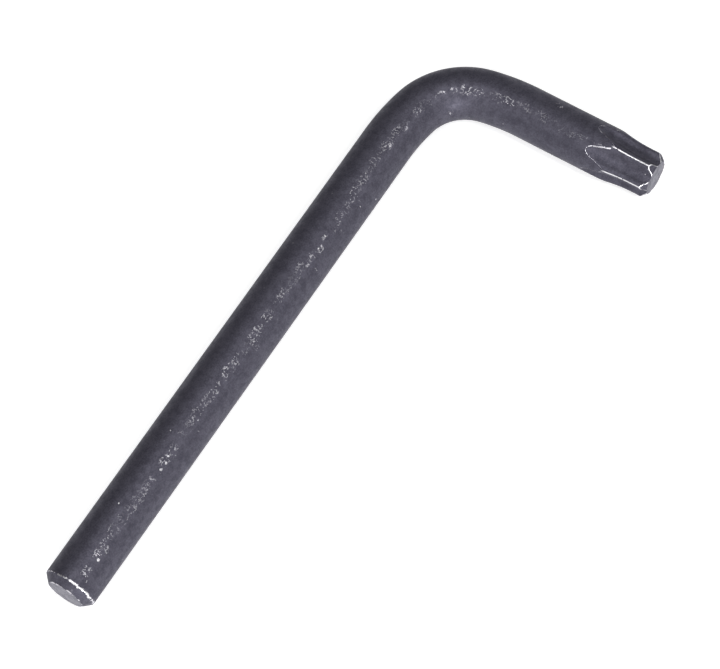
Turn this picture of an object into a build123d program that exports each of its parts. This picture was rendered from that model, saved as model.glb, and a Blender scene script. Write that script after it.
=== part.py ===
from build123d import *
from math import cos, pi, radians, sin, sqrt
import os

# Star-drive key: one round steel bar, bent square in one plane, with a six-lobe star formed on
# the end of the short arm and a plain chamfered end on the long arm.
# Millimetres. The key lies flat on z = 0. +X runs along the long arm to its plain end and +Y
# along the short arm to its star end. The origin is the bottom centre of the whole key.

# Bar
bar_diameter = 5.0
overall_long = 64.4             # outside of the bend to the plain end
overall_short = 25.8            # outside of the bend to the star face

# Bend: a tight middle between two gentler arcs, as a bar takes round a former
bend_radius = 6.25              # centre line of the middle of the bend
easing_radius = 21.0            # centre line of the arc on each side of it
easing_angle = 12.0             # degrees turned by each easing arc

# Plain end
plain_chamfer = 0.72

# Star end: the size 25 six-lobe profile
lobe_count = 6
star_outer_diameter = 4.48      # across the tips of two opposite lobes
star_inner_diameter = 3.20      # across the bottoms of two opposite flutes
lobe_radius = 0.345             # nose of each lobe
star_phase = 20.5               # degrees from +X towards +Z to the centre of the first lobe
star_full_length = 1.45         # face to where the flutes start to run out
runout_radius = 15.0            # arc on which lobes and flutes rise out to the bar
star_face_diameter = 3.4        # flat left on the tip by its 45 degree chamfer

# Worked out from the sizes above
bar_radius = bar_diameter / 2
corner_x = bar_radius - overall_long / 2
corner_y = bar_radius - overall_short / 2
plain_end_x = overall_long / 2
star_face_y = overall_short / 2
middle_angle = 90 - 2 * easing_angle
bend_setback = easing_radius * (
    1 + sin(radians(easing_angle)) - cos(radians(easing_angle))
) + bend_radius * (cos(radians(easing_angle)) - sin(radians(easing_angle)))

# The flute arc that is tangent to the nose of both its lobes
half_pitch = pi / lobe_count
lobe_centre = star_outer_diameter / 2 - lobe_radius
flute_bottom = star_inner_diameter / 2
flute_radius = (
    lobe_radius**2 - lobe_centre**2 - flute_bottom**2
    + 2 * lobe_centre * flute_bottom * cos(half_pitch)
) / (2 * (flute_bottom - lobe_centre * cos(half_pitch) - lobe_radius))

# The run-out ends just past the place where the flute bottoms reach the bar's surface
runout_rise = bar_radius - flute_bottom + 0.05
runout_length = sqrt(2 * runout_radius * runout_rise - runout_rise**2)
runout_steps = 5
blank_margin = 0.5              # waste stands this far outside the bar and past its face


def rise(distance):
    """How far the star's surface stands outside its full-depth profile on the run-out."""
    return runout_radius - sqrt(runout_radius**2 - distance**2)


def star_plane(distance_from_face):
    """Section plane of the short arm, looking out of its star end."""
    return Plane(
        origin=(corner_x, star_face_y - distance_from_face, bar_radius),
        x_dir=(1, 0, 0),
        z_dir=(0, 1, 0),
    )


def polar(radius, angle):
    return (radius * cos(angle), radius * sin(angle))


def star_outline(growth):
    """The closed star profile of tangent arcs, with lobes and flutes moved outwards by growth.

    The flutes keep their arc. The noses of the lobes grow rounder, to stay tangent to it.
    """
    crest = star_outer_diameter / 2 + growth
    flute_centre = flute_bottom + flute_radius + growth
    nose = (
        crest**2 + flute_centre**2 - flute_radius**2
        - 2 * crest * flute_centre * cos(half_pitch)
    ) / (2 * (crest - flute_centre * cos(half_pitch) + flute_radius))
    with BuildLine() as outline:
        for index in range(lobe_count):
            # seen from outside the tip, the phase turns the other way about the axis
            lobe_angle = -radians(star_phase) - 2 * half_pitch * index
            lobe = Vector(*polar(crest - nose, lobe_angle))
            next_lobe = Vector(*polar(crest - nose, lobe_angle - 2 * half_pitch))
            flute_before = Vector(*polar(flute_centre, lobe_angle + half_pitch))
            flute = Vector(*polar(flute_centre, lobe_angle - half_pitch))
            lobe_start = lobe + (flute_before - lobe).normalized() * nose
            lobe_end = lobe + (flute - lobe).normalized() * nose
            flute_end = next_lobe + (flute - next_lobe).normalized() * nose
            bottom = polar(flute_centre - flute_radius, lobe_angle - half_pitch)
            ThreePointArc(lobe_start, polar(crest, lobe_angle), lobe_end)
            ThreePointArc(lobe_end, bottom, flute_end)
    return outline.line


# What the star takes off the bar: a blank round the end of the short arm, less the star itself
with BuildPart() as star_waste:
    with BuildSketch(star_plane(star_full_length + runout_length)):
        Circle(bar_radius + blank_margin)
    extrude(amount=star_full_length + runout_length + blank_margin)
    # run-out: the profile grows on an arc until it leaves the bar
    for step in range(runout_steps + 1):
        distance = runout_length * step / runout_steps
        with BuildSketch(star_plane(star_full_length + distance)):
            make_face(star_outline(rise(distance)))
    loft(mode=Mode.SUBTRACT)
    # full-depth star
    with BuildSketch(star_plane(star_full_length)):
        make_face(star_outline(0))
    extrude(amount=star_full_length, mode=Mode.SUBTRACT)

# What the 45 degree chamfer takes off the tip
with BuildPart() as tip_waste:
    chamfer_depth = bar_radius + blank_margin - star_face_diameter / 2
    with BuildSketch(Plane(origin=(corner_x, star_face_y, bar_radius))):
        with BuildLine():
            Polyline(
                (star_face_diameter / 2, 0),
                (bar_radius + blank_margin, -chamfer_depth),
                (bar_radius + blank_margin, blank_margin),
                (star_face_diameter / 2, blank_margin),
                close=True,
            )
        make_face()
    revolve(axis=Axis((corner_x, 0, bar_radius), (0, 1, 0)))

with BuildPart() as star_key:
    # bar: straight, three tangent arcs round the corner, straight
    with BuildLine(Plane.XY.offset(bar_radius)):
        long_arm = Line((plain_end_x, corner_y), (corner_x + bend_setback, corner_y))
        first_easing = JernArc(long_arm @ 1, long_arm % 1, easing_radius, -easing_angle)
        middle = JernArc(first_easing @ 1, first_easing % 1, bend_radius, -middle_angle)
        second_easing = JernArc(middle @ 1, middle % 1, easing_radius, -easing_angle)
        Line(second_easing @ 1, (corner_x, star_face_y))
    with BuildSketch(Plane(origin=long_arm @ 0, z_dir=long_arm % 0)):
        Circle(bar_radius)
    sweep()
    # plain end
    chamfer(star_key.edges().sort_by(Axis.X)[-1], length=plain_chamfer)
    # star end
    add(star_waste.part, mode=Mode.SUBTRACT)
    add(tip_waste.part, mode=Mode.SUBTRACT)

star_key.part.label = "star_key"
print(f"flute radius {flute_radius:.3f}, bend setback {bend_setback:.3f}, "
      f"run-out length {runout_length:.3f}")
print(f"volume {star_key.part.volume:.1f} cubic mm, size {star_key.part.bounding_box().size}")

os.makedirs("parts", exist_ok=True)
export_step(star_key.part, "parts/star_key.step")
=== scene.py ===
# %% [markdown]
# # A star-drive key
#
# A star-drive key is the plainest of hand tools: one length of round steel bar. A press forms a
# six-lobe star on one end, the other end gets a chamfer, a bending machine folds the bar square,
# and a hot bath turns its skin to black oxide. There is nothing to assemble, so everything this
# scene has to show is in one surface: how round it is, how the star fades into the bar, what
# drawers and screws have done to the black, and a painted highlight along its upper side.
#
# The imported CAD model is the frame. It gives the key's size and place, and this script works
# from its box, in metres.

# %% Load the frame
import bpy
from math import cos, pi, radians, sin, tan
from mathutils import Matrix, Vector


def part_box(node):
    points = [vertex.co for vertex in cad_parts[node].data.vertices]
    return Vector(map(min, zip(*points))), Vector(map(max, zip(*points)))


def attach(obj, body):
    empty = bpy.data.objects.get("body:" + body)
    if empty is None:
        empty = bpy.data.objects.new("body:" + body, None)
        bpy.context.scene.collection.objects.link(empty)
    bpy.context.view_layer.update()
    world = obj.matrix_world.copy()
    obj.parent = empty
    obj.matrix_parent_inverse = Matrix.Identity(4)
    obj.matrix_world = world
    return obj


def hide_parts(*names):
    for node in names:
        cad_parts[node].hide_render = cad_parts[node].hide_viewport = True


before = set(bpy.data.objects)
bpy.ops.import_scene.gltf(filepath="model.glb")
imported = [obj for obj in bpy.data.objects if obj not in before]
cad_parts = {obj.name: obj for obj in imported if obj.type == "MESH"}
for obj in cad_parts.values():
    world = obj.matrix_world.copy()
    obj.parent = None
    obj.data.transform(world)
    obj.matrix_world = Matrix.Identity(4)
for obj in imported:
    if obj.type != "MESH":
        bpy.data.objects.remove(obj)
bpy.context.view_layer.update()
low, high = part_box("star_key")
MM = 0.001
print("the key is", [round((b - a) / MM, 2) for a, b in zip(low, high)], "mm")

# %% [markdown]
# ## Sizes
#
# The bar is as thick as the key is high, because the key lies flat. The two arms' centre lines
# run half a bar inside the box. The rest are the sizes that a maker would put on the drawing.
#
# The flutes are arcs that touch the noses of the lobes on both sides. With the other sizes
# given, that sets their radius, so it is worked out here and not chosen.

# %% Name the sizes
BAR = (high.z - low.z) / 2
CORNER = Vector((low.x + BAR, low.y + BAR, low.z + BAR))    # where the arms' axes cross
LONG_END = high.x
STAR_FACE = high.y

BEND = 6.25 * MM                              # centre line of the middle of the bend
EASING = 21 * MM                              # centre line of the arcs on each side of it
EASING_TURN = radians(12)
MIDDLE_TURN = pi / 2 - 2 * EASING_TURN

PLAIN_FLAT = 1.78 * MM                        # radius of the flat left by the plain chamfer
STAR_FLAT = 1.70 * MM                         # radius of the flat left on the star's tip
STAR_OUTER = 2.24 * MM                        # radius to the crests of the lobes
STAR_INNER = 1.60 * MM                        # radius to the bottoms of the flutes
LOBE_NOSE = 0.345 * MM
FULL_DEPTH = 1.45 * MM                        # face to where the flutes start to run out
RUNOUT = 15 * MM                              # arc on which the star grows out to the bar
LOBES = 6
PHASE = radians(20.5)                         # first lobe, from +X towards +Z

HALF_PITCH = pi / LOBES
NOSE_CENTRE = STAR_OUTER - LOBE_NOSE
FLUTE = (LOBE_NOSE ** 2 - NOSE_CENTRE ** 2 - STAR_INNER ** 2
         + 2 * NOSE_CENTRE * STAR_INNER * cos(HALF_PITCH)) / (
    2 * (STAR_INNER - NOSE_CENTRE * cos(HALF_PITCH) - LOBE_NOSE))
print("the flutes have a radius of", round(FLUTE / MM, 3), "mm")

# %% [markdown]
# ## The path of the bar
#
# A bar doesn't fold round a single arc. It turns tightly where it wraps the bending pin, and
# gently before and after, where it only leans on it. A Bezier curve holds that path well: a
# straight needs two points, and an arc needs two points whose handles are 4/3 of the tangent of
# a quarter of the turn, times the radius. Every handle lies along the path, so the joints
# between straights and arcs can't kink.
#
# The path starts at the plain end and walks to the star, one stretch at a time.

# %% Walk along the path
knots = [(Vector((LONG_END, CORNER.y, CORNER.z)), Vector((-1, 0, 0)))]
handles = []
lengths = []


def straight(length):
    place, heading = knots[-1]
    knots.append((place + heading * length, heading))
    handles.append(length / 3)
    lengths.append(length)


def turn_right(radius, angle):
    place, heading = knots[-1]
    centre = place + Vector((heading.y, -heading.x, 0)) * radius
    spin = Matrix.Rotation(-angle, 3, "Z")
    knots.append((centre + spin @ (place - centre), spin @ heading))
    handles.append(4 / 3 * tan(angle / 4) * radius)
    lengths.append(radius * angle)


setback = (EASING * (1 + sin(EASING_TURN) - cos(EASING_TURN))
           + BEND * (cos(EASING_TURN) - sin(EASING_TURN)))
straight(LONG_END - CORNER.x - setback)
turn_right(EASING, EASING_TURN)
turn_right(BEND, MIDDLE_TURN)
turn_right(EASING, EASING_TURN)
straight(STAR_FACE - knots[-1][0].y)
BAR_LENGTH = sum(lengths)
print("the bar is", round(BAR_LENGTH / MM, 2), "mm long, with its star end at", knots[-1][0])

# %% [markdown]
# The curve object only guides the node tree below, and it is deleted once the key is rolled up.

# %% Draw the path
path_data = bpy.data.curves.new("bar_path", "CURVE")
path_data.dimensions = "3D"
path_data.resolution_u = 64
spline = path_data.splines.new("BEZIER")
spline.bezier_points.add(len(knots) - 1)
for index, (point, (place, heading)) in enumerate(zip(spline.bezier_points, knots)):
    before = handles[max(index - 1, 0)]
    after = handles[min(index, len(handles) - 1)]
    point.handle_left_type = "FREE"
    point.handle_right_type = "FREE"
    point.co = place
    point.handle_left = place - heading * before
    point.handle_right = place + heading * after
path_object = bpy.data.objects.new("bar_path", path_data)
bpy.context.scene.collection.objects.link(path_object)
print("the path has", len(knots), "knots")

# %% [markdown]
# ## The bar, unrolled
#
# The skin of the key starts as a flat sheet of numbers: how far along the bar a point is, how
# far round it, and how far in from the rim, on the two end faces. The sheet is closed round the
# bar and at the middle of both faces, so the key can't have a seam or a hole. Rows stand closer
# where the shape is finer, at the two ends. A whole number of columns fits each lobe, and so the
# crests of the star fall on columns.

# %% Choose the rows
COLUMNS_PER_LOBE = 28
COLUMNS = LOBES * COLUMNS_PER_LOBE
PLAIN_ZONE = 1.2 * MM                         # holds the plain end's chamfer
STAR_ZONE = 7.6 * MM                          # holds the star and its run-out
TIP_ZONE = 0.9 * MM                           # holds the star's own chamfer
FACE_RINGS = 12
RING_CROWDING = 1.7                           # puts more rings near the rim of a face


def rows_between(start, end, spacing):
    count = max(1, round((end - start) / spacing))
    return [start + (end - start) * step / count for step in range(count)]


stations = (rows_between(0, PLAIN_ZONE, 0.04 * MM)
            + rows_between(PLAIN_ZONE, BAR_LENGTH - STAR_ZONE, 0.24 * MM)
            + rows_between(BAR_LENGTH - STAR_ZONE, BAR_LENGTH - TIP_ZONE, 0.06 * MM)
            + rows_between(BAR_LENGTH - TIP_ZONE, BAR_LENGTH, 0.035 * MM)
            + [BAR_LENGTH])
insets = [(ring / FACE_RINGS) ** RING_CROWDING for ring in range(1, FACE_RINGS)]
rows = ([(0, inset) for inset in reversed(insets)]
        + [(station, 0) for station in stations]
        + [(BAR_LENGTH, inset) for inset in insets])
print("the unrolled skin has", len(rows), "rows of", COLUMNS, "points")

# %% [markdown]
# Each face of the sheet is listed so that it looks outwards once the sheet is rolled up. The
# last column joins the first one, and a fan of triangles closes the middle of each end face.

# %% Make the unrolled skin
points = [(station, PHASE + 2 * pi * column / COLUMNS, inset)
          for station, inset in rows for column in range(COLUMNS)]
plain_pole = len(points)
star_pole = plain_pole + 1
points += [(0, 0, 1), (BAR_LENGTH, 0, 1)]
last_row = (len(rows) - 1) * COLUMNS

faces = []
for column in range(COLUMNS):
    beside = (column + 1) % COLUMNS
    for here in range(0, last_row, COLUMNS):
        above = here + COLUMNS
        faces.append((here + column, above + column, above + beside, here + beside))
    faces.append((plain_pole, column, beside))
    faces.append((star_pole, last_row + beside, last_row + column))

skin = bpy.data.meshes.new("unrolled_skin")
skin.from_pydata(points, [], faces)
key = bpy.data.objects.new("blackened_key", skin)
bpy.context.scene.collection.objects.link(key)
print("the unrolled skin has", len(faces), "faces")

# %% [markdown]
# ## Rolling it up with Geometry Nodes
#
# The key's shape follows a rule, so a node tree makes it. At each station the tree asks the
# path for a place and a heading, and moves each point out from there by a radius. Long sums are
# tiresome to wire by hand, so a few helpers add a node, feed its inputs and hand back its
# output. The same helpers serve the shader trees later on.

# %% Helpers for node trees
def new_node(tree, kind, **settings):
    node = tree.nodes.new(kind)
    for name, value in settings.items():
        setattr(node, name, value)
    return node


def feed(tree, socket, value):
    """Joins a value to a socket: a link if it is another node's output, else a number."""
    if isinstance(value, bpy.types.NodeSocket):
        tree.links.new(value, socket)
    else:
        socket.default_value = value


def calc(tree, operation, *values):
    node = new_node(tree, "ShaderNodeMath", operation=operation)
    for socket, value in zip(node.inputs, values):
        feed(tree, socket, value)
    return node.outputs[0]


def vector_calc(tree, operation, first, second):
    node = new_node(tree, "ShaderNodeVectorMath", operation=operation)
    feed(tree, node.inputs[0], first)
    feed(tree, node.inputs[1], second)
    return node.outputs["Vector"]


def scaled(tree, vector, factor):
    node = new_node(tree, "ShaderNodeVectorMath", operation="SCALE")
    feed(tree, node.inputs[0], vector)
    feed(tree, node.inputs["Scale"], factor)
    return node.outputs["Vector"]


def noise(tree, vector, scale, detail=3.0, roughness=0.55):
    node = new_node(tree, "ShaderNodeTexNoise", noise_dimensions="3D")
    feed(tree, node.inputs["Vector"], vector)
    feed(tree, node.inputs["Scale"], scale)
    node.inputs["Detail"].default_value = detail
    node.inputs["Roughness"].default_value = roughness
    return node.outputs[0]


print("the helpers are ready")

# %% [markdown]
# The tree's inputs are the key's sizes by name, so each sum below says which size it uses.
# The flat sheet's three coordinates are read once, at the start.

# %% Start the tree and its inputs
rolling = bpy.data.node_groups.new("roll_up_the_key", "GeometryNodeTree")
sizes = {
    "Bar Radius": BAR,
    "Bar Length": BAR_LENGTH,
    "Plain Flat": PLAIN_FLAT,
    "Star Flat": STAR_FLAT,
    "Star Outer": STAR_OUTER,
    "Star Inner": STAR_INNER,
    "Flute Radius": FLUTE,
    "Full Depth": FULL_DEPTH,
    "Run-out Radius": RUNOUT,
    "Phase": PHASE,
    "Edge Rounding": 0.09 * MM,
    "Scale Relief": 0.004 * MM,
}


def tree_input(name, kind):
    return rolling.interface.new_socket(name, in_out="INPUT", socket_type=kind)


tree_input("Geometry", "NodeSocketGeometry")
size_sockets = {name: tree_input(name, "NodeSocketFloat") for name in sizes}
path_socket = tree_input("Path", "NodeSocketObject")
steel_socket = tree_input("Steel", "NodeSocketMaterial")
rolling.interface.new_socket("Geometry", in_out="OUTPUT", socket_type="NodeSocketGeometry")

given = new_node(rolling, "NodeGroupInput").outputs
flat = new_node(rolling, "ShaderNodeSeparateXYZ")
feed(rolling, flat.inputs[0], new_node(rolling, "GeometryNodeInputPosition").outputs[0])
station, turn, inset = flat.outputs
print("the tree takes", len(sizes), "sizes")

# %% [markdown]
# ## The star
#
# On the tip the star is at full depth. Behind that, its whole profile moves outwards on a long
# arc, until the flutes leave the bar. The flutes keep their own arc while they move, and the
# noses of the lobes change with them, so that the two stay tangent.

# %% How the star grows along the run-out
GROWTH_END = 7 * MM                           # past here the star is well outside the bar

depth = calc(rolling, "SUBTRACT", given["Bar Length"], station)
past = calc(rolling, "MAXIMUM", calc(rolling, "SUBTRACT", depth, given["Full Depth"]), 0.0)
past = calc(rolling, "MINIMUM", past, GROWTH_END)
chord = calc(rolling, "SQRT", calc(rolling, "SUBTRACT",
                                   calc(rolling, "POWER", given["Run-out Radius"], 2.0),
                                   calc(rolling, "POWER", past, 2.0)))
growth = calc(rolling, "SUBTRACT", given["Run-out Radius"], chord)

crest = calc(rolling, "ADD", given["Star Outer"], growth)
flute_bottom = calc(rolling, "ADD", given["Star Inner"], growth)
flute_centre = calc(rolling, "ADD", flute_bottom, given["Flute Radius"])
across = calc(rolling, "MULTIPLY", flute_centre, cos(HALF_PITCH))
squares = calc(rolling, "SUBTRACT",
               calc(rolling, "ADD", calc(rolling, "POWER", crest, 2.0),
                    calc(rolling, "POWER", flute_centre, 2.0)),
               calc(rolling, "ADD", calc(rolling, "POWER", given["Flute Radius"], 2.0),
                    calc(rolling, "MULTIPLY", calc(rolling, "MULTIPLY", crest, across), 2.0)))
spread = calc(rolling, "ADD", calc(rolling, "SUBTRACT", crest, across), given["Flute Radius"])
nose = calc(rolling, "DIVIDE", squares, calc(rolling, "MULTIPLY", spread, 2.0))
nose_centre = calc(rolling, "SUBTRACT", crest, nose)
print("the run-out grows over", round(GROWTH_END / MM, 1), "mm at most")

# %% [markdown]
# A star has the same half lobe twelve times over, so the turn is folded until it runs from 0 on
# a crest to half a pitch in a flute. There, the distance from the axis to either arc is the
# distance to a circle: the near side of the flute's, or the far side of the nose's. The arcs
# meet on the line between their centres.

# %% The star's radius at a point
fold = calc(rolling, "PINGPONG", calc(rolling, "SUBTRACT", turn, given["Phase"]), HALF_PITCH)
from_flute = calc(rolling, "SUBTRACT", HALF_PITCH, fold)


def to_circle(centre, radius, angle, side):
    """Distance from the axis to a circle's near side (SUBTRACT) or far side (ADD)."""
    reach = calc(rolling, "MULTIPLY", centre, calc(rolling, "COSINE", angle))
    aside = calc(rolling, "MULTIPLY", centre, calc(rolling, "SINE", angle))
    square = calc(rolling, "SUBTRACT", calc(rolling, "POWER", radius, 2.0),
                  calc(rolling, "POWER", aside, 2.0))
    half_chord = calc(rolling, "SQRT", calc(rolling, "MAXIMUM", square, 0.0))
    return calc(rolling, side, reach, half_chord)


share = calc(rolling, "DIVIDE", given["Flute Radius"],
             calc(rolling, "ADD", given["Flute Radius"], nose))
toward_x = calc(rolling, "SUBTRACT", calc(rolling, "MULTIPLY", nose_centre, cos(HALF_PITCH)),
                flute_centre)
toward_y = calc(rolling, "MULTIPLY", nose_centre, sin(HALF_PITCH))
meet_x = calc(rolling, "ADD", flute_centre, calc(rolling, "MULTIPLY", toward_x, share))
meet_y = calc(rolling, "MULTIPLY", toward_y, share)
meeting = calc(rolling, "ARCTAN2", meet_y, meet_x)

pick = new_node(rolling, "ShaderNodeMix", data_type="FLOAT")
feed(rolling, pick.inputs["Factor"], calc(rolling, "LESS_THAN", from_flute, meeting))
feed(rolling, pick.inputs["A"], to_circle(nose_centre, nose, fold, "ADD"))
feed(rolling, pick.inputs["B"],
     to_circle(flute_centre, given["Flute Radius"], from_flute, "SUBTRACT"))
star = pick.outputs["Result"]
print("the tree has", len(rolling.nodes), "nodes so far")

# %% [markdown]
# ## The smallest radius wins
#
# The key's surface is the smallest of four radii: the star, the bar, and the cones of the two
# chamfers. Where the growing star passes the bar's radius, the bar takes over, and that draws
# the rounded tongues in which the flutes run out. A smooth minimum joins the four, because no
# edge of a used tool is a true corner. The bar's own skin is also a thousandth or two of a
# millimetre uneven, as hot scale is, and mostly on the inward side of the drawn size.

# %% Join the four surfaces
star_cone = calc(rolling, "ADD", given["Star Flat"], depth)
plain_cone = calc(rolling, "ADD", given["Plain Flat"], station)
rim_radius = given["Bar Radius"]
for surface_radius in (star, star_cone, plain_cone):
    rim_radius = calc(rolling, "SMOOTH_MIN", rim_radius, surface_radius, given["Edge Rounding"])
from_middle = calc(rolling, "SUBTRACT", 1.0, inset)
radius = calc(rolling, "MULTIPLY", rim_radius, from_middle)

RELIEF_SCALE = 900                            # bumps to a metre
RELIEF_TOP = 0.7                              # most of the noise is below this, so inward
straight_bar = new_node(rolling, "ShaderNodeCombineXYZ")
feed(rolling, straight_bar.inputs[0], station)
for socket, wave in zip(straight_bar.inputs[1:], ("COSINE", "SINE")):
    feed(rolling, socket, calc(rolling, "MULTIPLY", radius, calc(rolling, wave, turn)))
unevenness = calc(rolling, "SUBTRACT",
                  noise(rolling, straight_bar.outputs[0], RELIEF_SCALE, 2.0, 0.5), RELIEF_TOP)
relief = calc(rolling, "MULTIPLY", unevenness, given["Scale Relief"])
radius = calc(rolling, "ADD", radius, calc(rolling, "MULTIPLY", relief, from_middle))
print("the edges are rounded over", round(sizes["Edge Rounding"] / MM, 3), "mm")

# %% [markdown]
# ## On to the path
#
# The cross product of the path's heading and straight up points to the side, level with the
# table. A point goes out along that side and up by the cosine and the sine of its turn.

# %% Place the points along the path
path_info = new_node(rolling, "GeometryNodeObjectInfo", transform_space="ORIGINAL")
feed(rolling, path_info.inputs["Object"], given["Path"])
on_path = new_node(rolling, "GeometryNodeSampleCurve", mode="LENGTH")
feed(rolling, on_path.inputs["Curves"], path_info.outputs["Geometry"])
feed(rolling, on_path.inputs["Length"], station)
UP = (0, 0, 1)
side = vector_calc(rolling, "CROSS_PRODUCT", on_path.outputs["Tangent"], UP)
outward = vector_calc(rolling, "ADD", scaled(rolling, side, calc(rolling, "COSINE", turn)),
                      scaled(rolling, UP, calc(rolling, "SINE", turn)))
rolled_place = vector_calc(rolling, "ADD", on_path.outputs["Position"],
                           scaled(rolling, outward, radius))
print("the points go along", len(lengths), "stretches of path")

# %% [markdown]
# ## Marks for the material
#
# Wear sits on edges, and the tree knows where the edges are: the gap between two of the radii
# is zero along each of them. It stores those gaps on the points, in millimetres, while the
# sheet is still flat. It also stores the distance from a line along the upper side where the
# lamp by the camera makes its highlight, for the painted highlight along it in the material.

# %% Store the marks and finish the tree
HIGHLIGHT_TURN = radians(66)                           # place round the bar of the painted highlight line, where the lamp by the camera mirrors
off_highlight_turn = calc(rolling, "SUBTRACT",
                      calc(rolling, "WRAP", turn, HIGHLIGHT_TURN + pi, HIGHLIGHT_TURN - pi), HIGHLIGHT_TURN)
marks = {
    "crest_offset": calc(rolling, "MULTIPLY", star, fold),
    "runout_gap": calc(rolling, "SUBTRACT", star, given["Bar Radius"]),
    "tip_gap": calc(rolling, "SUBTRACT", star_cone,
                    calc(rolling, "MINIMUM", star, given["Bar Radius"])),
    "plain_gap": calc(rolling, "SUBTRACT", plain_cone, given["Bar Radius"]),
    "rim_gap": calc(rolling, "MULTIPLY", inset, rim_radius),
    # distance from the painted highlight line
    "from_trail": calc(rolling, "MULTIPLY", off_highlight_turn, BAR),
    "from_star_face": depth,
    "from_plain_face": station,
}
geometry = given["Geometry"]
for name, value in marks.items():
    store = new_node(rolling, "GeometryNodeStoreNamedAttribute", data_type="FLOAT",
                     domain="POINT")
    feed(rolling, store.inputs["Geometry"], geometry)
    feed(rolling, store.inputs["Name"], name)
    feed(rolling, store.inputs["Value"], calc(rolling, "DIVIDE", value, MM))
    geometry = store.outputs["Geometry"]

roll = new_node(rolling, "GeometryNodeSetPosition")
smooth = new_node(rolling, "GeometryNodeSetShadeSmooth")
realize = new_node(rolling, "GeometryNodeRealizeInstances")
dress = new_node(rolling, "GeometryNodeSetMaterial")
feed(rolling, roll.inputs["Position"], rolled_place)
feed(rolling, dress.inputs["Material"], given["Steel"])
for step in (roll, smooth, realize, dress):
    feed(rolling, step.inputs["Geometry"], geometry)
    geometry = step.outputs["Geometry"]
feed(rolling, new_node(rolling, "NodeGroupOutput").inputs[0], geometry)
print("the rolling tree has", len(rolling.nodes), "nodes")

# %% [markdown]
# ## Black oxide
#
# The finish is the steel's own skin turned to a dark, slightly violet scale. It is neither paint
# nor bright metal: it scatters some light and mirrors some, it is finely mottled, and bare steel
# shows wherever it is pitted, rubbed or knocked. Four effects make it up, each a node group: the
# scale's mottle, bare specks, polished ridges that also serve as painted glints, and the wear
# that follows an edge.

# %% Helpers for shader groups
NUMBER = "NodeSocketFloat"
VECTOR = "NodeSocketVector"


def shader_group(name, inputs, outputs):
    """A new group, with its inner inputs and outputs. An input is a name and a number."""
    group = bpy.data.node_groups.new(name, "ShaderNodeTree")
    group.interface.new_socket("Place", in_out="INPUT", socket_type=VECTOR)
    for label, value in inputs.items():
        socket = group.interface.new_socket(label, in_out="INPUT", socket_type=NUMBER)
        socket.default_value = value
    for label in outputs:
        group.interface.new_socket(label, in_out="OUTPUT", socket_type=NUMBER)
    inner_inputs = new_node(group, "NodeGroupInput").outputs
    return group, inner_inputs, new_node(group, "NodeGroupOutput").inputs


def ramp(tree, value, low_end, high_end, low_value=0.0, high_value=1.0):
    """A smooth step from one value to another, while the input goes from end to end."""
    node = new_node(tree, "ShaderNodeMapRange", interpolation_type="SMOOTHSTEP", clamp=True)
    for socket, number in zip(node.inputs, (value, low_end, high_end, low_value, high_value)):
        feed(tree, socket, number)
    return node.outputs[0]


print("the shader helpers are ready")

# %% [markdown]
# The scale is made of grains a fraction of a millimetre wide, which gather into paler and
# darker patches. One noise makes the patches, one the grains, and a third, finer one only
# roughens the height.

# %% The mottled scale
mottle_group, given_scale, scale_out = shader_group(
    "scale_mottle", {"Grain Size": 0.3 * MM}, ["Mottle", "Height"])
per_grain = calc(mottle_group, "DIVIDE", 1.0, given_scale["Grain Size"])
patches = noise(mottle_group, given_scale["Place"],
                calc(mottle_group, "MULTIPLY", per_grain, 0.22))
grains = noise(mottle_group, given_scale["Place"], per_grain, 4.0, 0.65)
fine = noise(mottle_group, given_scale["Place"],
             calc(mottle_group, "MULTIPLY", per_grain, 3.5), 2.0)
patchy_grains = calc(mottle_group, "ADD", calc(mottle_group, "MULTIPLY", patches, 0.45),
                     calc(mottle_group, "MULTIPLY", grains, 0.55))
feed(mottle_group, scale_out["Mottle"], ramp(mottle_group, patchy_grains, 0.35, 0.65))
feed(mottle_group, scale_out["Height"],
     calc(mottle_group, "ADD", grains, calc(mottle_group, "MULTIPLY", fine, 0.35)))
print("made", mottle_group.name)

# %% [markdown]
# A Voronoi texture scatters one point in each cell. Its random colour serves as a lottery: one
# channel picks the few cells that get a speck, and another gives the speck its size. A little
# noise on the distance makes the specks ragged.

# %% Bare specks
specks_group, given_specks, specks_out = shader_group(
    "bare_specks", {"Spacing": 0.5 * MM, "Share": 0.2, "Size": 0.3}, ["Specks"])
cells = new_node(specks_group, "ShaderNodeTexVoronoi", feature="F1")
feed(specks_group, cells.inputs["Vector"], given_specks["Place"])
feed(specks_group, cells.inputs["Scale"],
     calc(specks_group, "DIVIDE", 1.0, given_specks["Spacing"]))
lottery = new_node(specks_group, "ShaderNodeSeparateColor")
feed(specks_group, lottery.inputs[0], cells.outputs["Color"])
chosen = calc(specks_group, "LESS_THAN", lottery.outputs[0], given_specks["Share"])
speck_size = calc(specks_group, "MULTIPLY", given_specks["Size"],
                  ramp(specks_group, lottery.outputs[1], 0.0, 1.0, 0.35, 1.0))
ragged = noise(specks_group, given_specks["Place"],
               calc(specks_group, "DIVIDE", 3.0, given_specks["Spacing"]))
ragged = calc(specks_group, "MULTIPLY", calc(specks_group, "SUBTRACT", ragged, 0.5), 0.35)
distance = calc(specks_group, "ADD", cells.outputs["Distance"], ragged)
inside = ramp(specks_group, calc(specks_group, "DIVIDE", distance, speck_size),
              0.7, 1.0, 1.0, 0.0)
feed(specks_group, specks_out["Specks"], calc(specks_group, "MULTIPLY", inside, chosen))
print("made", specks_group.name)
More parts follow.
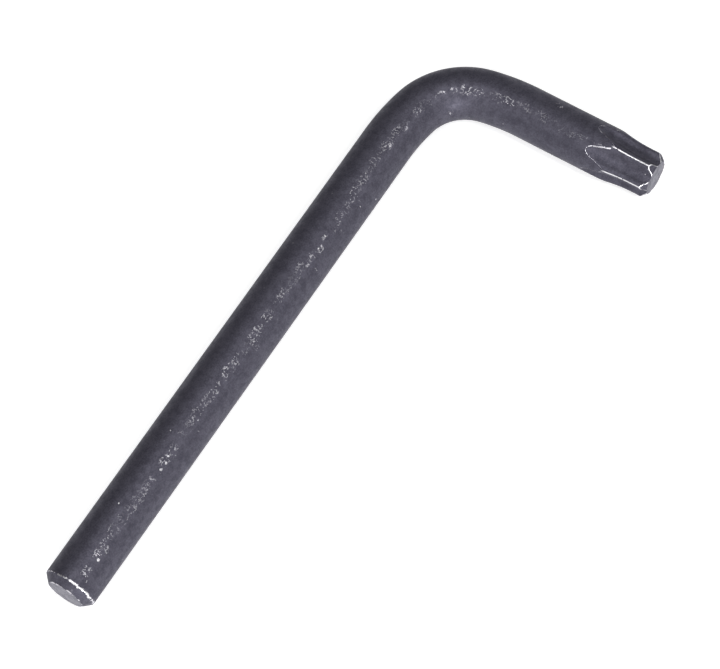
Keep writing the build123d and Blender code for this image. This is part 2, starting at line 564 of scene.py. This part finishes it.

# %% [markdown]
# Where the bar rubs, only the ridges of the scale are polished: short wandering lines and dots,
# in clusters. Gathered thickly in the highlight trail below, the same pattern is also a painted
# highlight, standing for glints. The lines lie where a noise crosses its middle value, and a
# second noise breaks them into pieces. The dots are the peaks of a third.

# %% Polished ridges and painted glints
polish_glint_group, given_polish_glint, polish_glint_out = shader_group(
    "polished_ridges_and_glints",
    {"Spacing": 0.45 * MM, "Line Width": 0.03, "Cluster Size": 1.5 * MM, "Cluster Level": 0.5},
    ["Polished"])
per_spacing = calc(polish_glint_group, "DIVIDE", 1.0, given_polish_glint["Spacing"])
wander = noise(polish_glint_group, given_polish_glint["Place"], per_spacing, 3.0, 0.6)
off_line = calc(polish_glint_group, "ABSOLUTE", calc(polish_glint_group, "SUBTRACT", wander, 0.5))
line = ramp(polish_glint_group, calc(polish_glint_group, "DIVIDE", off_line, given_polish_glint["Line Width"]),
            0.4, 1.0, 1.0, 0.0)
pieces = noise(polish_glint_group, given_polish_glint["Place"],
               calc(polish_glint_group, "MULTIPLY", per_spacing, 2.6), 1.0)
line = calc(polish_glint_group, "MULTIPLY", line, ramp(polish_glint_group, pieces, 0.43, 0.53))
peaks = noise(polish_glint_group, given_polish_glint["Place"],
              calc(polish_glint_group, "MULTIPLY", per_spacing, 2.9), 1.0)
dots = ramp(polish_glint_group, peaks, 0.67, 0.72)
clusters = noise(polish_glint_group, given_polish_glint["Place"],
                 calc(polish_glint_group, "DIVIDE", 1.0, given_polish_glint["Cluster Size"]), 2.0)
in_cluster = ramp(polish_glint_group, clusters, given_polish_glint["Cluster Level"],
                  calc(polish_glint_group, "ADD", given_polish_glint["Cluster Level"], 0.08))
feed(polish_glint_group, polish_glint_out["Polished"],
     calc(polish_glint_group, "MULTIPLY", calc(polish_glint_group, "MAXIMUM", line, dots), in_cluster))
print("made", polish_glint_group.name)

# %% [markdown]
# An edge loses its scale first, in a line that swells, thins and breaks. The group takes the
# gap that the rolling tree stored and compares it with a width. A noise switches that width on
# and off along the edge.

# %% Wear along an edge
BREAK_SIZE = 0.5 * MM
THINNEST = 0.001                              # keeps the division below away from zero

wear_group, given_wear, wear_out = shader_group(
    "edge_wear", {"Gap": 0.0, "Width": 0.08, "Breaks": 0.5}, ["Bare"])
breaks = noise(wear_group, given_wear["Place"], 1 / BREAK_SIZE, 4.0, 0.7)
unbroken = ramp(wear_group, breaks, given_wear["Breaks"],
                calc(wear_group, "ADD", given_wear["Breaks"], 0.15))
width_here = calc(wear_group, "MULTIPLY", given_wear["Width"], unbroken)
nearness = calc(wear_group, "DIVIDE", calc(wear_group, "ABSOLUTE", given_wear["Gap"]),
                calc(wear_group, "ADD", width_here, THINNEST))
feed(wear_group, wear_out["Bare"], ramp(wear_group, nearness, 0.4, 1.0, 1.0, 0.0))
print("made", wear_group.name)

# %% [markdown]
# ## The steel itself
#
# The four groups meet in one material. Patterns read Object coordinates, so they keep their
# size on the key. The marks come in as attributes, in millimetres.

# %% Start the material
steel = bpy.data.materials.new("blackened_steel")
steel.use_nodes = True
tree = steel.node_tree
surface = tree.nodes["Principled BSDF"]
place = new_node(tree, "ShaderNodeTexCoord").outputs["Object"]


def effect(group, **values):
    node = new_node(tree, "ShaderNodeGroup")
    node.node_tree = group
    feed(tree, node.inputs["Place"], place)
    for label, value in values.items():
        feed(tree, node.inputs[label.replace("_", " ")], value)
    return node.outputs


def mark(name):
    return new_node(tree, "ShaderNodeAttribute", attribute_name=name).outputs["Fac"]


def mixed(factor, first, second):
    node = new_node(tree, "ShaderNodeMix", data_type="RGBA")
    colour_sockets = [socket for socket in node.inputs if socket.type == "RGBA"]
    feed(tree, node.inputs["Factor"], factor)
    feed(tree, colour_sockets[0], first)
    feed(tree, colour_sockets[1], second)
    return next(socket for socket in node.outputs if socket.type == "RGBA")


def combined(operation, first, *others):
    for other in others:
        first = calc(tree, operation, first, other)
    return first


def most(*masks):
    return combined("MAXIMUM", *masks)


def times(*masks):
    return combined("MULTIPLY", *masks)


mottle = effect(mottle_group, Grain_Size=0.16 * MM)
small_specks = effect(specks_group, Spacing=0.9 * MM, Share=0.10, Size=0.11)["Specks"]
big_specks = effect(specks_group, Spacing=3.1 * MM, Share=0.16, Size=0.06)["Specks"]
print("started", steel.name)

# %% [markdown]
# ## The painted highlight trail
#
# Along its upper side, where the lamp by the camera makes its highlight, the key gets a painted
# highlight: a band about a millimetre wide, which wanders a little and comes and goes. Polished
# ridges stand thick in most of it, and here and there a whole speck is bare. They stand for the
# glints of the scale's bumps, and they also flash under that lamp. The star lies deeper than
# the bar's own surface, so the trail stops there.

# %% Paint the highlight along the upper side
# Painted highlight: a band along the line where the lamp by the camera mirrors.
wandering = calc(tree, "MULTIPLY",
                 calc(tree, "SUBTRACT", noise(tree, place, 1 / (6 * MM), 2.0), 0.5), 1.3)
off_highlight_band = calc(tree, "ABSOLUTE", calc(tree, "ADD", mark("from_trail"), wandering))
highlight_band = ramp(tree, off_highlight_band, 0.15, 0.75, 1.0, 0.0)
on_full_bar = ramp(tree, mark("runout_gap"), -0.03, 0.0)
long_patches = noise(tree, place, 1 / (4.5 * MM), 1.0)
short_patches = noise(tree, place, 1 / (0.9 * MM), 2.0)

# Polished ridges, gathered thickly in the band as painted glints, and sparse outside it.
polish_and_glints = effect(polish_glint_group, Spacing=0.60 * MM, Line_Width=0.035, Cluster_Size=1.3 * MM,
                  Cluster_Level=ramp(tree, highlight_band, 0.0, 1.0, 0.68, 0.40))["Polished"]
polish_and_glints = times(polish_and_glints, on_full_bar,
                 ramp(tree, long_patches, 0.40, 0.60, 0.25, 1.0),
                 ramp(tree, short_patches, 0.35, 0.62, 0.25, 1.0))
# Bare specks gathered in the band are painted glints too.
highlight_specks = effect(specks_group, Spacing=0.75 * MM, Share=0.50, Size=0.20)["Specks"]
highlight_specks = times(highlight_specks, ramp(tree, highlight_band, 0.5, 0.9),
                     ramp(tree, long_patches, 0.46, 0.56), on_full_bar)
print("the trail runs at", round(HIGHLIGHT_TURN * 180 / pi), "degrees round the bar")

# %% [markdown]
# ## The worn edges
#
# The lobes' crests and the rim of the star's tip meet every screw, so they are bare in nearly
# unbroken lines. The plain end's outer ring is worn widest on one side, and the rim of its flat
# is worn thinly all round. The outlines of the tongues are hairlines of wear, widened into a
# painted highlight where the highlight trail crosses them. Each line is kept to its own end of
# the key.

# %% Wear the edges
near_star = ramp(tree, mark("from_star_face"), 6.9, 7.2, 1.0, 0.0)
near_plain_end = ramp(tree, mark("from_plain_face"), 2.0, 2.4, 1.0, 0.0)
near_face = ramp(tree, mark("from_star_face"), 4.0, 4.6, 1.0, 0.0)
on_side = ramp(tree, mark("rim_gap"), 0.0, 0.02, 1.0, 0.0)
behind_chamfer = ramp(tree, mark("tip_gap"), 0.0, 0.05)

crest_wear = effect(wear_group, Gap=mark("crest_offset"), Width=0.09, Breaks=0.30)["Bare"]
tip_wear = effect(wear_group, Gap=mark("tip_gap"), Width=0.07, Breaks=0.30)["Bare"]

object_axes = new_node(tree, "ShaderNodeSeparateXYZ")
feed(tree, object_axes.inputs[0], place)
ring_width = ramp(tree, object_axes.outputs["Y"], CORNER.y - 1.5 * MM, CORNER.y + 2 * MM,
                  0.08, 0.20)
ring_wear = effect(wear_group, Gap=mark("plain_gap"), Width=ring_width, Breaks=0.45)["Bare"]
flat_gap = calc(tree, "ADD", mark("rim_gap"), mark("from_plain_face"))
flat_wear = effect(wear_group, Gap=flat_gap, Width=0.08, Breaks=0.44)["Bare"]

# Where the highlight trail crosses, the outline widens: painted highlight.
outline = effect(wear_group, Gap=mark("runout_gap"),
                 Width=ramp(tree, highlight_band, 0.0, 1.0, 0.022, 0.08),
                 Breaks=ramp(tree, highlight_band, 0.0, 1.0, 0.49, 0.38))["Bare"]

# Bare steel of wear and specks, with the painted glints of the highlight trail.
bare_and_glints = most(times(on_side, most(times(crest_wear, behind_chamfer, near_face),
                                times(tip_wear, near_star),
                                times(ring_wear, near_plain_end))),
            flat_wear, small_specks, big_specks, highlight_specks)
# Polished ridges and outlines, partly painted highlight along the trail.
rubbed_and_glints = most(polish_and_glints, times(on_side, near_star, outline))
print("the material has", len(tree.nodes), "nodes so far")

# %% [markdown]
# ## Colour, shine and height
#
# The end faces get a paler colour, with more contrast, than the drawn bar. Scale is only partly
# metallic, and bare steel wholly so. Rubbed and bare steel, and the painted glints of the
# highlight trail, are also smoother, so they flash where they face a lamp and stay quiet
# elsewhere. The bump is two hundredths of a millimetre, and the scattered specks sit in shallow
# pits.

# %% Colour the steel
DARK_SCALE = (0.049, 0.047, 0.063, 1)
PALE_SCALE = (0.083, 0.080, 0.103, 1)
DARK_CUT = (0.105, 0.102, 0.125, 1)
PALE_CUT = (0.220, 0.215, 0.245, 1)
# The rubbed and bare colours also paint the glints of the highlight trail: a painted highlight.
RUBBED_SCALE_AND_GLINTS = (0.560, 0.550, 0.590, 1)
BARE_STEEL_AND_GLINTS = (0.75, 0.74, 0.77, 1)
SCALE_METALLIC = 0.35

on_ends = ramp(tree, mark("rim_gap"), 0.02, 0.14)
skin_colour = mixed(mottle["Mottle"], DARK_SCALE, PALE_SCALE)
skin_colour = mixed(on_ends, skin_colour, mixed(mottle["Mottle"], DARK_CUT, PALE_CUT))
skin_colour = mixed(rubbed_and_glints, skin_colour, RUBBED_SCALE_AND_GLINTS)
feed(tree, surface.inputs["Base Color"], mixed(bare_and_glints, skin_colour, BARE_STEEL_AND_GLINTS))
feed(tree, surface.inputs["Metallic"],
     ramp(tree, most(bare_and_glints, rubbed_and_glints), 0.0, 1.0, SCALE_METALLIC, 1.0))
surface.inputs["Specular IOR Level"].default_value = 0.15
surface.inputs["Specular Tint"].default_value = (0.5, 0.5, 0.55, 1)
roughness = ramp(tree, mottle["Mottle"], 0.0, 1.0, 0.50, 0.40)
roughness = calc(tree, "SUBTRACT", roughness, times(rubbed_and_glints, 0.15))
feed(tree, surface.inputs["Roughness"], calc(tree, "SUBTRACT", roughness, times(bare_and_glints, 0.08)))

pits = times(most(small_specks, big_specks), 0.8)
bump = new_node(tree, "ShaderNodeBump")
bump.inputs["Strength"].default_value = 1.0
bump.inputs["Distance"].default_value = 0.02 * MM
feed(tree, bump.inputs["Height"], calc(tree, "SUBTRACT", mottle["Height"], pits))
feed(tree, surface.inputs["Normal"], bump.outputs[0])
print("the material has", len(tree.nodes), "nodes")

# %% [markdown]
# ## Roll up the key
#
# The modifier's inputs are set by their identifiers before the key is first evaluated. The
# result is kept as a plain mesh, and the modifier and the path are thrown away. Then the key is
# hung on the one body there is, and the CAD solid is hidden; the key already has the steel from
# the tree.

# %% Keep the plain mesh
modifier = key.modifiers.new("roll_up", "NODES")
modifier.node_group = rolling
for name, value in sizes.items():
    modifier[size_sockets[name].identifier] = value
modifier[path_socket.identifier] = path_object
modifier[steel_socket.identifier] = steel

evaluated = key.evaluated_get(bpy.context.evaluated_depsgraph_get())
finished_mesh = bpy.data.meshes.new_from_object(evaluated)
finished_mesh.name = "blackened_key"
key.modifiers.remove(modifier)
key.data = finished_mesh
bpy.data.objects.remove(path_object)
print("the key has", len(finished_mesh.polygons), "faces")

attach(key, "root")
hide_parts("star_key")

# %% [markdown]
# ## The stage
#
# The key lies on a sheet of white paper. The paper is white because it is painted white and lit
# plainly. Some brightness of its own, which only the camera and reflections see, carries it to
# full white and leaves the key's soft shadow on it.

# %% Lay the paper
PAPER_HALF = 0.6
PAPER_GLOW = 0.50

floor_mesh = bpy.data.meshes.new("paper")
paper_corners = [(-PAPER_HALF, -PAPER_HALF, 0), (PAPER_HALF, -PAPER_HALF, 0),
                 (PAPER_HALF, PAPER_HALF, 0), (-PAPER_HALF, PAPER_HALF, 0)]
floor_mesh.from_pydata(paper_corners, [], [(0, 1, 2, 3)])
floor = bpy.data.objects.new("paper", floor_mesh)
bpy.context.scene.collection.objects.link(floor)

paper = bpy.data.materials.new("white_paper")
paper.use_nodes = True
paper_tree = paper.node_tree
paper_surface = paper_tree.nodes["Principled BSDF"]
paper_surface.inputs["Base Color"].default_value = (0.8, 0.8, 0.8, 1)
paper_surface.inputs["Roughness"].default_value = 0.9
paper_surface.inputs["Specular IOR Level"].default_value = 0.1
paper_surface.inputs["Emission Color"].default_value = (1, 1, 1, 1)
rays = new_node(paper_tree, "ShaderNodeLightPath").outputs
seen = rays["Is Camera Ray"]
for kind in ("Is Glossy Ray", "Is Transmission Ray"):
    seen = calc(paper_tree, "MAXIMUM", seen, rays[kind])
feed(paper_tree, paper_surface.inputs["Emission Strength"],
     calc(paper_tree, "MULTIPLY", seen, PAPER_GLOW))
floor_mesh.materials.append(paper)
print("the paper is", 2 * PAPER_HALF, "m square")

# %% [markdown]
# ## The lamps
#
# A round black bar shows its lamps as bands along it. A low front panel lights the near flank,
# two panels and one overhead fill the top, and one weak lamp edges the far flank. The small
# lamp by the camera makes the glossy marks of the painted highlight trail flash. Each level is a
# share of the power that would light white paper to white from straight above, at the same
# distance.

# %% Hang the lamps
LAMP_DISTANCE = 0.5
PLAIN_POWER = pi ** 2 * LAMP_DISTANCE ** 2    # lights white paper to white, in watts
ROOM_LEVEL = 0.04

lamps = {                                     # direction, size in metres, level
    "low_front": ((0.68, 0.68, 0.25), 0.20, 1.05),
    "overhead": ((0.0, 0.0, 1.0), 0.20, 0.30),
    "right_panel": ((0.7, 0.0, 0.7), 0.20, 0.35),
    "left_edge": ((-0.95, 0.0, 0.28), 0.20, 0.10),
    "left_panel": ((-0.5, 0.6, 0.5), 0.20, 0.22),
    "by_the_camera": ((0.13, 0.48, 0.87), 0.09, 0.22),
}
for name, (direction, size, level) in lamps.items():
    lamp = bpy.data.lights.new(name, "AREA")
    lamp.shape = "RECTANGLE"
    lamp.size = size
    lamp.size_y = size
    lamp.energy = level * PLAIN_POWER
    toward = Vector(direction).normalized()
    holder = bpy.data.objects.new(name, lamp)
    holder.location = toward * LAMP_DISTANCE
    holder.rotation_euler = toward.to_track_quat("Z", "Y").to_euler()
    bpy.context.scene.collection.objects.link(holder)

world = bpy.data.worlds.new("soft_room")
world.use_nodes = True
world.node_tree.nodes["Background"].inputs["Color"].default_value = (1, 1, 1, 1)
world.node_tree.nodes["Background"].inputs["Strength"].default_value = ROOM_LEVEL
bpy.context.scene.world = world
print("hung", len(lamps), "lamps")

# %% [markdown]
# ## The camera
#
# From a comfortable distance a small thing needs a long lens, which keeps its two arms nearly
# free of perspective. The camera looks down steeply from the side that the arms open towards,
# and is rolled a little.

# %% Point the camera
AIM = Vector((-2.09, -1.89, 2.52)) * MM
EYE = Vector((77.48, 64.85, 213.10)) * MM
ROLL = radians(8.25)

camera_data = bpy.data.cameras.new("camera")
camera_data.sensor_width = 36
camera_data.lens = 130
camera_data.clip_start = 0.01
camera = bpy.data.objects.new("camera", camera_data)
camera.location = EYE
level_look = (AIM - EYE).to_track_quat("-Z", "Y").to_matrix()
camera.rotation_euler = (level_look @ Matrix.Rotation(-ROLL, 3, "Z")).to_euler()
bpy.context.scene.collection.objects.link(camera)
bpy.context.scene.camera = camera
print("the camera stands", round((EYE - AIM).length, 3), "m away")

# %% [markdown]
# ## Finish
#
# The Standard view keeps colours as they were written.

# %% Finish
bpy.context.scene.view_settings.view_transform = "Standard"
